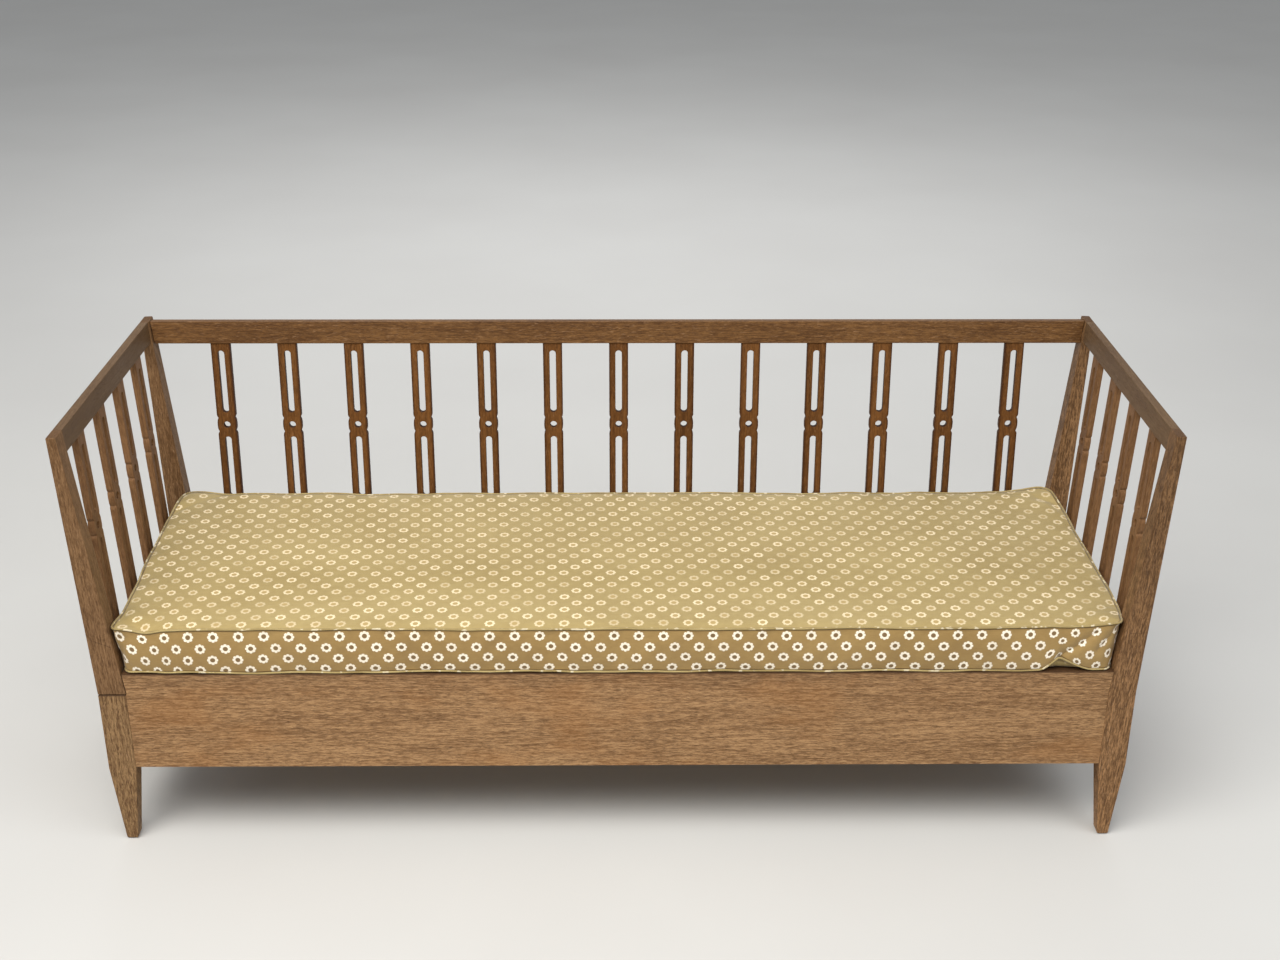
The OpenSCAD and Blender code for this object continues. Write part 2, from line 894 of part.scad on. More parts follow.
module mattress() {
    side = mattress_l / 2;
    rear = front_y + mattress_d;
    color(cloth) translate([0, 0, apron_top + mattress_gap]) linear_extrude(mattress_h) polygon([
        [mattress_pinch - side, front_y], [side - mattress_pinch, front_y],
        [side, front_y + mattress_front_run], [side, rear - mattress_rear_cut[1]],
        [side - mattress_rear_cut[0], rear], [mattress_rear_cut[0] - side, rear],
        [-side, rear - mattress_rear_cut[1]], [-side, front_y + mattress_front_run]]);
}

left_front_leg();
left_rear_leg();
left_side_apron();
right_front_post();
right_rear_post();
right_side_apron();
right_top_rail();
right_lower_rail();
for (i = [1 : end_slats])
    right_slat(i);
front_apron();
rear_apron();
back_top_rail();
back_lower_rail();
for (i = [1 : back_slats])
    back_slat(i);
back_dowels();
corner_blocks();
front_ledger();
rear_ledger();
ledger_screws();
stop_board();
base_slats();
hinge_fixed_leaves();
hinge_pins();
hinge_screws_fixed();
button_spacers();
button_screws();
left_front_post();
left_rear_post();
left_top_rail();
left_lower_rail();
for (i = [1 : end_slats])
    left_slat(i);
hinge_moving_leaves();
hinge_screws_moving();
lever_bars();
lever_screws();
turn_button(0);  // turn_button_front
turn_button(1);  // turn_button_rear
mattress();
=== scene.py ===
"""Looks of the daybed: oak frame, brass and steel fittings, and the patterned mattress with its piping.

Metres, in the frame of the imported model: X to the right, Y to the back, Z up, the origin on the floor.
"""

import math
import random

import bpy
from mathutils import Matrix, Vector, noise


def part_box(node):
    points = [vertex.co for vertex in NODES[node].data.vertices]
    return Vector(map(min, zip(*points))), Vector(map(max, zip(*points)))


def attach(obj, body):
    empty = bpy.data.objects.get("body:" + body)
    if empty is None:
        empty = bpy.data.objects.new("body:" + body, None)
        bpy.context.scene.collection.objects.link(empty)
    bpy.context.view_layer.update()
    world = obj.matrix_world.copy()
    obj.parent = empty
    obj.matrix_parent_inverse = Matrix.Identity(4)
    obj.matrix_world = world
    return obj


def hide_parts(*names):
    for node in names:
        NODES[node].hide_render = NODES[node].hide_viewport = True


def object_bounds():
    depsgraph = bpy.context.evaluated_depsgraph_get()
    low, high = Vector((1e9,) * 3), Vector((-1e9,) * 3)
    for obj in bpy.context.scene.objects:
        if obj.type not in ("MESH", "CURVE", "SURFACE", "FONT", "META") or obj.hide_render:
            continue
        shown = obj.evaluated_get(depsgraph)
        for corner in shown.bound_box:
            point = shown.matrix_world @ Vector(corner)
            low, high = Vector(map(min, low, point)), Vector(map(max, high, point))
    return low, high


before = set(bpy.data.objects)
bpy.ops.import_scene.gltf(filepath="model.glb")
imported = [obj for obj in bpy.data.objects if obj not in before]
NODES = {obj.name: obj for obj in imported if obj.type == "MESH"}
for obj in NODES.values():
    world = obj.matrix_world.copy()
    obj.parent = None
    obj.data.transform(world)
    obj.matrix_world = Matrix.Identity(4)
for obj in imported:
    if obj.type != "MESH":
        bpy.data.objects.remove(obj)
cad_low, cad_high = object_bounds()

MM = 0.001

# ---------- Places taken from the frame ----------

BED_FRONT = cad_low.y
BED_TOP = cad_high.z
MATTRESS_LOW, MATTRESS_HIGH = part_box("mattress")

# Directions of the grain. The ends lean outwards and the back leans backwards.
LEG_LOW, LEG_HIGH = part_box("left_front_leg")
CUT_HEIGHT = LEG_HIGH.z
END_LEAN = math.atan2(LEG_LOW.x - cad_low.x, BED_TOP - CUT_HEIGHT)
SLAT_LOW, SLAT_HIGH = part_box("back_slat_7")
SLAT_THICKNESS = 12 * MM
BACK_LEAN = math.atan2(SLAT_HIGH.y - SLAT_LOW.y - SLAT_THICKNESS, SLAT_HIGH.z - SLAT_LOW.z)
ALONG_X = Vector((1, 0, 0))
ALONG_Y = Vector((0, 1, 0))
UPRIGHT = Vector((0, 0, 1))
LEFT_LEAN = Vector((-math.sin(END_LEAN), 0, math.cos(END_LEAN)))
RIGHT_LEAN = Vector((math.sin(END_LEAN), 0, math.cos(END_LEAN)))
BACK_UP = Vector((0, math.sin(BACK_LEAN), math.cos(BACK_LEAN)))


# ---------- Shader graphs ----------

# Sockets of the Mix node when it mixes two colours
MIX_FACTOR = 0
MIX_A = 6
MIX_B = 7
MIX_RESULT = 2


def colour(code):
    """Linear colour of a hex code such as "a08060"."""
    values = [int(code[i:i + 2], 16) / 255 for i in (0, 2, 4)]
    linear = [v / 12.92 if v <= 0.04045 else ((v + 0.055) / 1.055) ** 2.4 for v in values]
    return (*linear, 1.0)


class Graph:
    """A material and short calls that wire its nodes.

    A value is a number, a tuple or another node's output.
    """

    def __init__(self, name):
        self.material = bpy.data.materials.new(name)
        self.material.use_nodes = True
        self.nodes = self.material.node_tree.nodes
        self.links = self.material.node_tree.links
        self.nodes.clear()

    def add(self, kind, inputs, output=0, **settings):
        node = self.nodes.new("ShaderNode" + kind)
        for key, value in settings.items():
            setattr(node, key, value)
        for key, value in inputs.items():
            self.put(node.inputs[key], value)
        return node.outputs[output]

    def put(self, socket, value):
        if isinstance(value, bpy.types.NodeSocket):
            self.links.new(value, socket)
        else:
            socket.default_value = value

    def math(self, operation, *values):
        return self.add("Math", dict(enumerate(values)), operation=operation)

    def vector(self, operation, *values):
        return self.add("VectorMath", dict(enumerate(values)), operation=operation)

    def dot(self, a, b):
        return self.add("VectorMath", {0: a, 1: tuple(b)}, "Value", operation="DOT_PRODUCT")

    def combine(self, x, y, z):
        return self.add("CombineXYZ", {0: x, 1: y, 2: z})

    def split(self, vector):
        node = self.nodes.new("ShaderNodeSeparateXYZ")
        self.put(node.inputs[0], vector)
        return list(node.outputs)

    def noise(self, place, sizes, detail=2.0, roughness=0.5, distortion=0.0):
        """Noise with cells of the given sizes in X, Y and Z, in the units of the place."""
        vector = self.vector("MULTIPLY", place, tuple(1 / size for size in sizes))
        return self.add("TexNoise", {"Vector": vector, "Scale": 1.0, "Detail": detail,
                                     "Roughness": roughness, "Distortion": distortion})

    def ramp(self, value, low, high, to_low=0.0, to_high=1.0):
        """Smooth step from to_low at low to to_high at high."""
        return self.add("MapRange", {0: value, 1: low, 2: high, 3: to_low, 4: to_high},
                        interpolation_type="SMOOTHSTEP")

    def length(self, a, b):
        """Length of a flat vector."""
        return self.math("SQRT", self.math("ADD", self.math("MULTIPLY", a, a), self.math("MULTIPLY", b, b)))

    def swing(self, value, size):
        """A 0 to 1 value turned into one from -size to size."""
        return self.math("MULTIPLY_ADD", value, 2 * size, -size)

    def mix(self, factor, a, b, blend="MIX"):
        inputs = {MIX_FACTOR: factor, MIX_A: a, MIX_B: b}
        return self.add("Mix", inputs, MIX_RESULT, data_type="RGBA", blend_type=blend)

    def position(self):
        """Place of a point of the piece at rest, in millimetres."""
        place = self.add("TexCoord", {}, "Object")
        return self.add("VectorMath", {0: place, "Scale": 1 / MM}, operation="SCALE")

    def finish(self, base, roughness, height, bump, **constants):
        """Closes the graph. Constants are set on the shader's own sockets."""
        shader = self.nodes.new("ShaderNodeBsdfPrincipled")
        self.put(shader.inputs["Base Color"], base)
        self.put(shader.inputs["Roughness"], roughness)
        for key, value in constants.items():
            shader.inputs[key.replace("_", " ")].default_value = value
        if height is not None:
            normal = self.add("Bump", {"Height": height, "Distance": bump * MM, "Strength": 1.0})
            self.put(shader.inputs["Normal"], normal)
        output = self.nodes.new("ShaderNodeOutputMaterial")
        self.links.new(shader.outputs[0], output.inputs["Surface"])
        return self.material


# ---------- Oak ----------

# Lengths in millimetres
RING_PITCH = 5.0
PITH_DEPTH = (35.0, 80.0)    # How far the pith lies below the middle of a board,
PITH_SIDE = 26.0             # and at most to one side of it
RING_TAPER = (0.010, 0.022)  # Slope of the growth rings along the board
FIGURE_SHIFT = 500           # The most a board's figure is shifted in each direction
PORE_BUMP = 0.28
SLAT_WIDTH = 37.0
SHADE_RIM = 5.0               # Width of the painted shade along a slat's edges
WAVER_SIZE = 20 / 3          # Length of the small bends of a hairline
FRONT_FACE = (3, 1)          # A hairline fades in over these depths behind the bed's front
FLECK_COLOUR = colour("c9a27c")
LONG_PORE_COLOUR = colour("4a2f1a")
PORE_COLOUR = colour("3c2512")
END_PORE_COLOUR = colour("2f1c0d")
STAIN_COLOUR = colour("9a6838")
EDGE_SHADE_COLOUR = colour("33190a")
WORN_AND_LIT_COLOUR = colour("b59b80")
GRIME_AND_SHADE_COLOUR = colour("3a2414")
TOP_SHADE = (0.37, 0.36, 0.35, 1.0)


def oak(node, along, across, light, dark, top_wear_and_highlight=0.0, contrast=1.0, stains=0.0, edge_shade=0.0,
        dark_top=0.0, gloss=0.22, marks=()):
    """Oiled oak, its grain along one direction, with its own figure for every board."""
    draw = random.Random(node)
    g = Graph("oak_" + node)
    low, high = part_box(node)
    centre = (low + high) / 2 / MM
    place = g.position()
    local = g.vector("SUBTRACT", place, tuple(centre))
    depth = along.cross(across)
    u = g.dot(local, along)
    v = g.dot(local, across)
    w = g.dot(local, depth)
    shift = tuple(draw.uniform(-FIGURE_SHIFT, FIGURE_SHIFT) for _ in range(3))
    point = g.vector("ADD", g.combine(u, v, w), shift)

    def streaks(length, width, **options):
        return g.noise(point, (length, width, width), **options)

    # Growth rings of a flat-sawn board, with wavy lines
    wander = g.swing(streaks(240, 42, detail=2.0), 16)
    tremble = g.swing(streaks(46, 7, detail=1.0), 1.3)
    pith = g.math("ADD", tremble, draw.uniform(-PITH_SIDE, PITH_SIDE))
    side = g.math("ADD", g.math("ADD", v, wander), pith)
    deep = g.math("ADD", w, draw.uniform(*PITH_DEPTH))
    ring_radius = g.length(side, deep)
    taper = g.math("MULTIPLY", u, draw.choice((-1, 1)) * draw.uniform(*RING_TAPER))
    phase = g.math("FRACT", g.math("DIVIDE", g.math("ADD", ring_radius, taper), RING_PITCH))
    early = g.ramp(phase, 0.55, 0.0)

    broad = streaks(420, 55, detail=2.0)
    coarse = streaks(75, 3.4, detail=3.0, roughness=0.62)
    fibre = streaks(26, 0.7, detail=2.0)
    dash = streaks(16, 2.6, detail=4.0, roughness=0.72)
    tone = g.math("MULTIPLY_ADD", g.swing(coarse, 1.0), 0.55 * contrast, 0.5)
    tone = g.math("MULTIPLY_ADD", g.swing(broad, 1.0), 0.38, tone)
    tone = g.math("MULTIPLY_ADD", g.swing(dash, 1.0), 1.25 * contrast, tone)
    tone = g.math("MULTIPLY_ADD", g.swing(fibre, 1.0), 0.22 * contrast, tone)
    tone = g.math("MULTIPLY_ADD", early, -0.12 * contrast, tone)
    base = g.mix(g.ramp(tone, -0.05, 1.0), dark, light)

    # Short dark pores, pale flecks of the rays, and open end grain
    long_pore = g.ramp(streaks(17, 1.35, detail=1.5), 0.585, 0.66)
    pore_bar = g.math("MULTIPLY_ADD", early, -0.05, 0.66)
    pore = g.ramp(g.math("SUBTRACT", streaks(6, 0.55, detail=1.0), pore_bar), -0.04, 0.03)
    fleck = g.ramp(streaks(13, 1.7, detail=1.0), 0.63, 0.72)
    base = g.mix(g.math("MULTIPLY", fleck, 0.20 * contrast), base, FLECK_COLOUR)
    base = g.mix(g.math("MULTIPLY", long_pore, 0.40 * contrast), base, LONG_PORE_COLOUR)
    base = g.mix(g.math("MULTIPLY", pore, 0.50 * contrast), base, PORE_COLOUR)
    facing = g.math("ABSOLUTE", g.dot(g.add("TexCoord", {}, "Normal"), along))
    end_grain = g.ramp(facing, 0.72, 0.92)
    dots = g.ramp(g.noise(point, (9, 0.8, 0.8), detail=1.0), 0.54, 0.66)
    end_tone = g.mix(dots, dark, END_PORE_COLOUR)
    base = g.mix(g.math("MULTIPLY", end_grain, 0.75), base, end_tone)

    # Patina and painted light: warm stains, painted shade on the slats' sides and edges, painted shade
    # towards the top, pale top faces that are partly wear and partly painted highlight, and marks, some of
    # them painted shade
    cloud = g.noise(point, (150, 75, 75), detail=3.0)
    if stains:
        warm = g.math("MULTIPLY", g.ramp(cloud, 0.48, 0.70), stains)
        base = g.mix(warm, base, STAIN_COLOUR)
    # Painted shade: the slats' sides and slot walls darker, and a darker band along the edges of their faces
    if edge_shade:
        edge = g.ramp(g.math("ABSOLUTE", v), SLAT_WIDTH / 2 - SHADE_RIM, SLAT_WIDTH / 2)
        flat = g.math("ABSOLUTE", g.dot(g.add("TexCoord", {}, "Normal"), depth))
        edge = g.math("MAXIMUM", edge, g.ramp(flat, 0.7, 0.2))
        base = g.mix(g.math("MULTIPLY", edge, edge_shade), base, EDGE_SHADE_COLOUR)
    if dark_top:
        half = (high - low).z / MM / 2
        base = g.mix(g.ramp(u, -half, half, 0.0, dark_top), base, TOP_SHADE, "MULTIPLY")
    # Upward faces paler: partly wear, partly painted highlight
    if top_wear_and_highlight:
        up = g.split(g.add("TexCoord", {}, "Normal"))[2]
        worn_and_lit = g.math("MULTIPLY", g.ramp(up, 0.70, 0.95), top_wear_and_highlight)
        base = g.mix(worn_and_lit, base, WORN_AND_LIT_COLOUR)
    # Marks: real cracks and lines, painted shade along the cut, and painted shadow under the mattress's edge
    for mark in marks:
        base = g.mix(mark(g, place), base, GRIME_AND_SHADE_COLOUR)
    rough = g.math("MULTIPLY_ADD", cloud, 0.16, 0.46)
    rough = g.math("MULTIPLY_ADD", pore, 0.2, rough)
    height = g.math("MULTIPLY_ADD", g.math("ADD", pore, long_pore), -0.6, coarse)
    return g.finish(base, rough, height, PORE_BUMP, Specular_IOR_Level=gloss)


def hairline(start, end, width, waver=1.2):
    """A thin line on a front face, from start to end in X and Z, in millimetres."""
    a = Vector(start)
    b = Vector(end)
    run = (b - a).normalized()
    middle = (a + b) / 2
    half = (b - a).length / 2

    def mask(g, place):
        x, y, z = g.split(place)
        along = g.math("ADD", g.math("MULTIPLY", x, run.x), g.math("MULTIPLY", z, run.y))
        aside = g.math("SUBTRACT", g.math("MULTIPLY", z, run.x), g.math("MULTIPLY", x, run.y))
        along = g.math("ABSOLUTE", g.math("SUBTRACT", along, middle.dot(run)))
        aside = g.math("SUBTRACT", aside, middle.y * run.x - middle.x * run.y)
        wobble = g.swing(g.noise(place, (WAVER_SIZE, WAVER_SIZE, WAVER_SIZE), detail=2.0), waver)
        aside = g.math("ABSOLUTE", g.math("ADD", aside, wobble))
        inside = g.math("MULTIPLY", g.ramp(along, half, half - 3), g.ramp(aside, width, width * 0.3))
        behind, before = (BED_FRONT / MM + depth for depth in FRONT_FACE)
        return g.math("MULTIPLY", inside, g.ramp(y, behind, before, 0, 0.75))
    return mask


def shade_band(top, depth, strength):
    """Painted shadow below an upper edge, from its height down, in millimetres."""
    def mask(g, place):
        return g.ramp(g.split(place)[2], top - depth, top, 0.0, strength)
    return mask


# ---------- Inner wood, brass and steel ----------

def sawn_wood(node, along, across):
    """Plain sawn softwood of the inner pieces."""
    draw = random.Random(node)
    g = Graph("sawn_" + node)
    place = g.position()
    grain = g.combine(g.dot(place, along), g.dot(place, across), g.dot(place, along.cross(across)))
    shift = tuple(draw.uniform(-FIGURE_SHIFT, FIGURE_SHIFT) for _ in range(3))
    point = g.vector("ADD", grain, shift)
    lines = g.noise(point, (220, 4.5, 9), detail=3.0, distortion=0.4)
    fibre = g.noise(point, (20, 0.8, 0.8), detail=2.0)
    knots = g.ramp(g.noise(point, (90, 40, 40), detail=1.0), 0.70, 0.78)
    base = g.mix(g.ramp(lines, 0.36, 0.66), colour("d5b68a"), colour("b08a5c"))
    base = g.mix(g.math("MULTIPLY", fibre, 0.3), base, colour("8d6a42"))
    base = g.mix(g.math("MULTIPLY", knots, 0.8), base, colour("6b4526"))
    rough = g.math("MULTIPLY_ADD", fibre, 0.2, 0.62)
    return g.finish(base, rough, g.math("ADD", lines, fibre), 0.25, Specular_IOR_Level=0.25)


def metal(name, bright, dull, stain, rough_low, rough_high):
    """Rolled metal with fine brush lines, tarnish in clouds and small spots."""
    g = Graph(name)
    place = g.position()
    brush = g.noise(place, (0.5, 9, 0.5), detail=2.0)
    cloud = g.noise(place, (11, 11, 11), detail=4.0, roughness=0.6)
    spots = g.ramp(g.noise(place, (2.2, 2.2, 2.2), detail=2.0), 0.62, 0.72)
    base = g.mix(g.ramp(cloud, 0.35, 0.65), bright, dull)
    base = g.mix(g.math("MULTIPLY", spots, 0.7), base, stain)
    rough = g.math("MULTIPLY_ADD", g.ramp(cloud, 0.3, 0.7), rough_high - rough_low, rough_low)
    rough = g.math("MULTIPLY_ADD", brush, 0.08, rough)
    return g.finish(base, rough, g.math("MULTIPLY_ADD", spots, -0.5, brush), 0.04, Metallic=1.0)


# ---------- Fabric ----------

# The flowers' slanted rows, in millimetres of the cut cloth: step along a row, step to the next row,
# place of the first flower, and the slope of the rows on the top
TOP_STEP = Vector((42.5, 0.0))
TOP_ROW = Vector((19.8, 22.7))
TOP_FIRST = Vector((-663.8, -2.2))
TOP_TILT = 9.0 / 1700
BORDER_STEP = Vector((42.0, 0.0))
BORDER_ROW = Vector((19.0, -21.6))
BORDER_FIRST = Vector((-15.0, -13.0))
FLOWER_RADIUS = 9.3
TOP_HOLE = 4.7
BORDER_HOLE = 4.2
NOTCH = 2.6
PETALS = 8
THREAD = 0.55
# Width of the painted shade in the groove along the seams, and how softly it ends
SEAM_SHADE = 4.0
SEAM_SOFTNESS = 1.8
SEAM_SHADE_COLOUR = colour("4e3511")
SATIN = {"Specular_IOR_Level": 0.35, "Sheen_Weight": 0.25, "Sheen_Roughness": 0.4}


def flower_masks(g, x, y, first, step, row, hole):
    """Ring, eye and tone of the nearest flower of a slanted lattice. All lengths are in millimetres."""
    x = g.math("SUBTRACT", x, first.x)
    y = g.math("SUBTRACT", y, first.y)
    row_number = g.math("ROUND", g.math("DIVIDE", y, row.y))
    y_left = g.math("MULTIPLY_ADD", row_number, -row.y, y)
    x = g.math("MULTIPLY_ADD", row_number, -row.x, x)
    step_number = g.math("ROUND", g.math("DIVIDE", x, step.x))
    x_left = g.math("MULTIPLY_ADD", step_number, -step.x, x)
    x_left = g.math("MULTIPLY", g.math("ROUND", g.math("DIVIDE", x_left, THREAD)), THREAD)
    y_left = g.math("MULTIPLY", g.math("ROUND", g.math("DIVIDE", y_left, THREAD)), THREAD)
    radius = g.length(x_left, y_left)
    angle = g.math("ARCTAN2", y_left, x_left)
    petal = g.math("ABSOLUTE", g.math("COSINE", g.math("MULTIPLY", angle, PETALS / 2)))
    edge = g.math("MULTIPLY_ADD", g.math("POWER", petal, 0.45), NOTCH, FLOWER_RADIUS - NOTCH)
    ring = g.math("MULTIPLY", g.ramp(g.math("SUBTRACT", radius, edge), 0.35, -0.35),
                  g.ramp(radius, hole - 0.4, hole + 0.4))
    eye = g.ramp(radius, hole + 0.3, hole - 0.5)
    age = g.add("TexWhiteNoise", {"Vector": g.combine(row_number, step_number, 0.0)}, "Value")
    return ring, eye, age


def satin(name, border, ground_light, ground_dark, flower, eye_colour, flower_low, flower_high):
    """Satin with woven flowers: the pattern follows the cut cloth, so it bends with the seams and folds."""
    g = Graph(name)
    cloth = g.add("Attribute", {}, "Vector", attribute_name="border_cloth" if border else "top_cloth")
    x, y, z = g.split(cloth)
    if border:
        # Round the corners the border goes on along the mattress's ends
        x = g.math("MULTIPLY_ADD", g.math("SIGN", x), y, x)
        ring, eye, age = flower_masks(g, x, z, BORDER_FIRST, BORDER_STEP, BORDER_ROW, BORDER_HOLE)
        flat = g.combine(x, z, 0.0)
    else:
        tilted = g.math("MULTIPLY_ADD", x, -TOP_TILT, y)
        ring, eye, age = flower_masks(g, x, tilted, TOP_FIRST, TOP_STEP, TOP_ROW, TOP_HOLE)
        flat = g.combine(x, y, 0.0)
    from_seam = g.add("Attribute", {}, "Fac", attribute_name="from_seam")
    seam = g.ramp(from_seam, SEAM_SHADE, SEAM_SHADE - SEAM_SOFTNESS)
    cloud = g.noise(flat, (240, 160, 1), detail=3.0)
    wear = g.noise(flat, (14, 11, 1), detail=3.0, roughness=0.6)
    slub = g.noise(flat, (26, 0.7, 1), detail=2.0)
    ribs = g.math("SINE", g.math("MULTIPLY", g.dot(flat, (0.35, 1.0, 0.0)), math.tau / THREAD))
    tone = g.math("MULTIPLY_ADD", g.swing(cloud, 1.0), 0.5, 0.5)
    tone = g.math("MULTIPLY_ADD", g.swing(wear, 1.0), 0.35, tone)
    tone = g.math("MULTIPLY_ADD", g.swing(slub, 1.0), 0.35, tone)
    base = g.mix(tone, ground_dark, ground_light)
    base = g.mix(g.math("MULTIPLY", eye, 0.75), base, eye_colour)
    shown = g.math("MULTIPLY_ADD", age, flower_high - flower_low, flower_low)
    shown = g.math("MULTIPLY", shown, g.ramp(wear, 0.22, 0.42, 0.8, 1.0))
    base = g.mix(g.math("MULTIPLY", ring, shown), base, flower)
    # Painted shade in the groove along the seams
    base = g.mix(g.math("MULTIPLY", seam, 0.62), base, SEAM_SHADE_COLOUR)
    rough = g.math("MULTIPLY_ADD", ring, 0.12, g.math("MULTIPLY_ADD", wear, 0.12, 0.44))
    height = g.math("MULTIPLY_ADD", ring, 1.2, g.math("MULTIPLY", ribs, 0.25))
    return g.finish(base, rough, height, 0.10, **SATIN)


def piping_cloth(name, ground_light, ground_dark, flower):
    """The same satin cut on the bias, so broken bits of flowers run round the cord."""
    g = Graph(name)
    place = g.position()
    bits = g.ramp(g.noise(place, (13, 13, 13), detail=1.0), 0.60, 0.66)
    cloud = g.noise(place, (60, 60, 60), detail=3.0)
    ribs = g.math("SINE", g.math("MULTIPLY", g.dot(place, (0.7, 0.7, 0.7)), math.tau / THREAD))
    base = g.mix(g.ramp(cloud, 0.3, 0.7), ground_dark, ground_light)
    base = g.mix(g.math("MULTIPLY", bits, 0.6), base, flower)
    rough = g.math("MULTIPLY_ADD", cloud, 0.15, 0.45)
    return g.finish(base, rough, ribs, 0.06, **SATIN)


# ---------- Mattress ----------

SEAM_Z = 2.5 * MM            # The seams lie this far inside the top and bottom of the block
SEAM_SIDE = 0.5 * MM         # this far inside its ends
SEAM_FRONT = 4 * MM          # and this far inside its front and back
REAR_REACH = 7 * MM          # The rear seam lies this much further back, against the slats
TOP_START = 3.5 * MM         # The top panel starts this far down, and the cloth swells
BOTTOM_START = 0.8 * MM
TOP_CORNER = 11 * MM         # Corner radii seen from above
LOWER_CORNER = 12 * MM
REAR_CORNER = 22 * MM
EDGE_ZONE = 154 * MM         # The grid is finer this close to the ends
EDGE_CELL = 7 * MM
MIDDLE_CELL = 13 * MM
BORDER_ROWS = 10
PIPING_RADIUS = 1.7 * MM
PIPING_SIDES = 8
PIPING_OUT = 0.9 * MM
PIPING_UNEVEN = 0.12
PIPING_WAVE = 3.1            # Counted in points of the seam
# Cloth simulation, and the most that each part of the cover may swell
PRESSURE = 4.0
SLACK = -0.015
CLOTH_FRAMES = 20
SWELL_TOP = 4.5 * MM
SWELL_BORDER = 6.5 * MM
SWELL_BOTTOM = 0.3 * MM
SWELL_BY_POST = 2.5 * MM
POST_ZONE = 50 * MM
# Wander of the seams: size in millimetres and wavelength in metres, long, short and outwards
WANDER_LONG = (1.7, 0.085)
WANDER_SHORT = (0.7, 0.030)
WANDER_OUT = (1.6, 0.12)
WANDER_REACH = 8 * MM

# The posts pinch in the front corners, at the upper and at the lower seam: on the left and on the right
PINCH_TOP = (-7 * MM, 13 * MM)
PINCH_LOW = (6 * MM, 23 * MM)
PINCH_REACH = 46 * MM
# The left end is drawn in at the front, less and less towards the back
LEFT_SLANT = 17 * MM
LEFT_SLANT_REACH = 470 * MM
# Pinch of the rear corners: on the left, on the right, and its reach
REAR_PINCH = (7 * MM, 10 * MM, 60 * MM)
# Dip of the upper front seam near the left corner: place, depth, half width
DIP = (-0.812, 5 * MM, 20 * MM)
# Corners of the top drawn up by the tight cover: side in X, side in Y, height, reach
EARS = [
    (1, -1, 10 * MM, 60 * MM),
    (1, 1, 13 * MM, 80 * MM),
    (-1, 1, 5 * MM, 60 * MM),
    (-1, -1, 1 * MM, 50 * MM),
]
# Peak of the lower front seam near the right corner
PEAK_X = 0.761
PEAK_HEIGHT = 26 * MM
PEAK_LEFT = 34 * MM
PEAK_RIGHT = 75 * MM
PEAK_DEPTH = 3.5 * MM
PEAK_SHARPNESS = 1.35
# Folds of the border that run up from the peak to the right corner: start and end in X and Z, depth, width
FOLDS = [
    ((0.758, 0.366), (0.812, 0.412), 5.0 * MM, 8 * MM),
    ((0.824, 0.384), (0.851, 0.424), 5.0 * MM, 8 * MM),
    ((-0.849, 0.360), (-0.840, 0.405), 2.5 * MM, 7 * MM),
]
FOLD_ZONE = 16 * MM          # Depth of the front in which the folds work
FOLD_DRAW = 0.55             # Share of the way to a fold that the cloth is drawn
# Stretch of the cut cloth in use: the factors of the smooth curves in top_place and border_place
DRIFT_ALONG = (3.8, 1.2, 2.2, 6.4, -27.4)
DRIFT_BACK = (3.5, 2.2, -2.4, 4.9, -23.8)
BORDER_DRIFT = (6.7, 5.1, -12.3)
BORDER_FRONT = 20 * MM
# Towards the left end the border's cloth is stretched in height
BORDER_STRETCH = 0.07
STRETCH_START = -0.45
STRETCH_RUN = 0.35


def lines(low, high, zone, fine, coarse):
    """Grid lines from low to high, closer together near both ends."""
    near = round(zone / fine)
    far = round((high - low - 2 * zone) / coarse)
    places = [low + zone * i / near for i in range(near)]
    places += [low + zone + (high - low - 2 * zone) * i / far for i in range(far + 1)]
    places += [high - zone + zone * i / near for i in range(1, near + 1)]
    return places


def round_corner(x, y, half_x, half_y, radius):
    """Moves a point of a rectangle about the origin so that the rectangle's corners become arcs."""
    a = (abs(x) - (half_x - radius)) / radius
    b = (abs(y) - (half_y - radius)) / radius
    if a <= 0 or b <= 0:
        return x, y
    reach = max(a, b)
    angle = math.pi / 4 * (b / a if a >= b else 2 - a / b)
    new_x = half_x - radius + radius * reach * math.cos(angle)
    new_y = half_y - radius + radius * reach * math.sin(angle)
    return math.copysign(new_x, x), math.copysign(new_y, y)


def wave(place, size, row=0.0):
    """Smooth noise between about -1 and 1, with the given wavelength along the place."""
    return 1.6 * noise.noise(Vector((place / size, row, 0.37)))


def peak(x):
    """Height of the peak of the lower front seam at x."""
    reach = PEAK_LEFT if x < PEAK_X else PEAK_RIGHT
    return PEAK_HEIGHT * max(0.0, 1 - abs(x - PEAK_X) / reach) ** PEAK_SHARPNESS


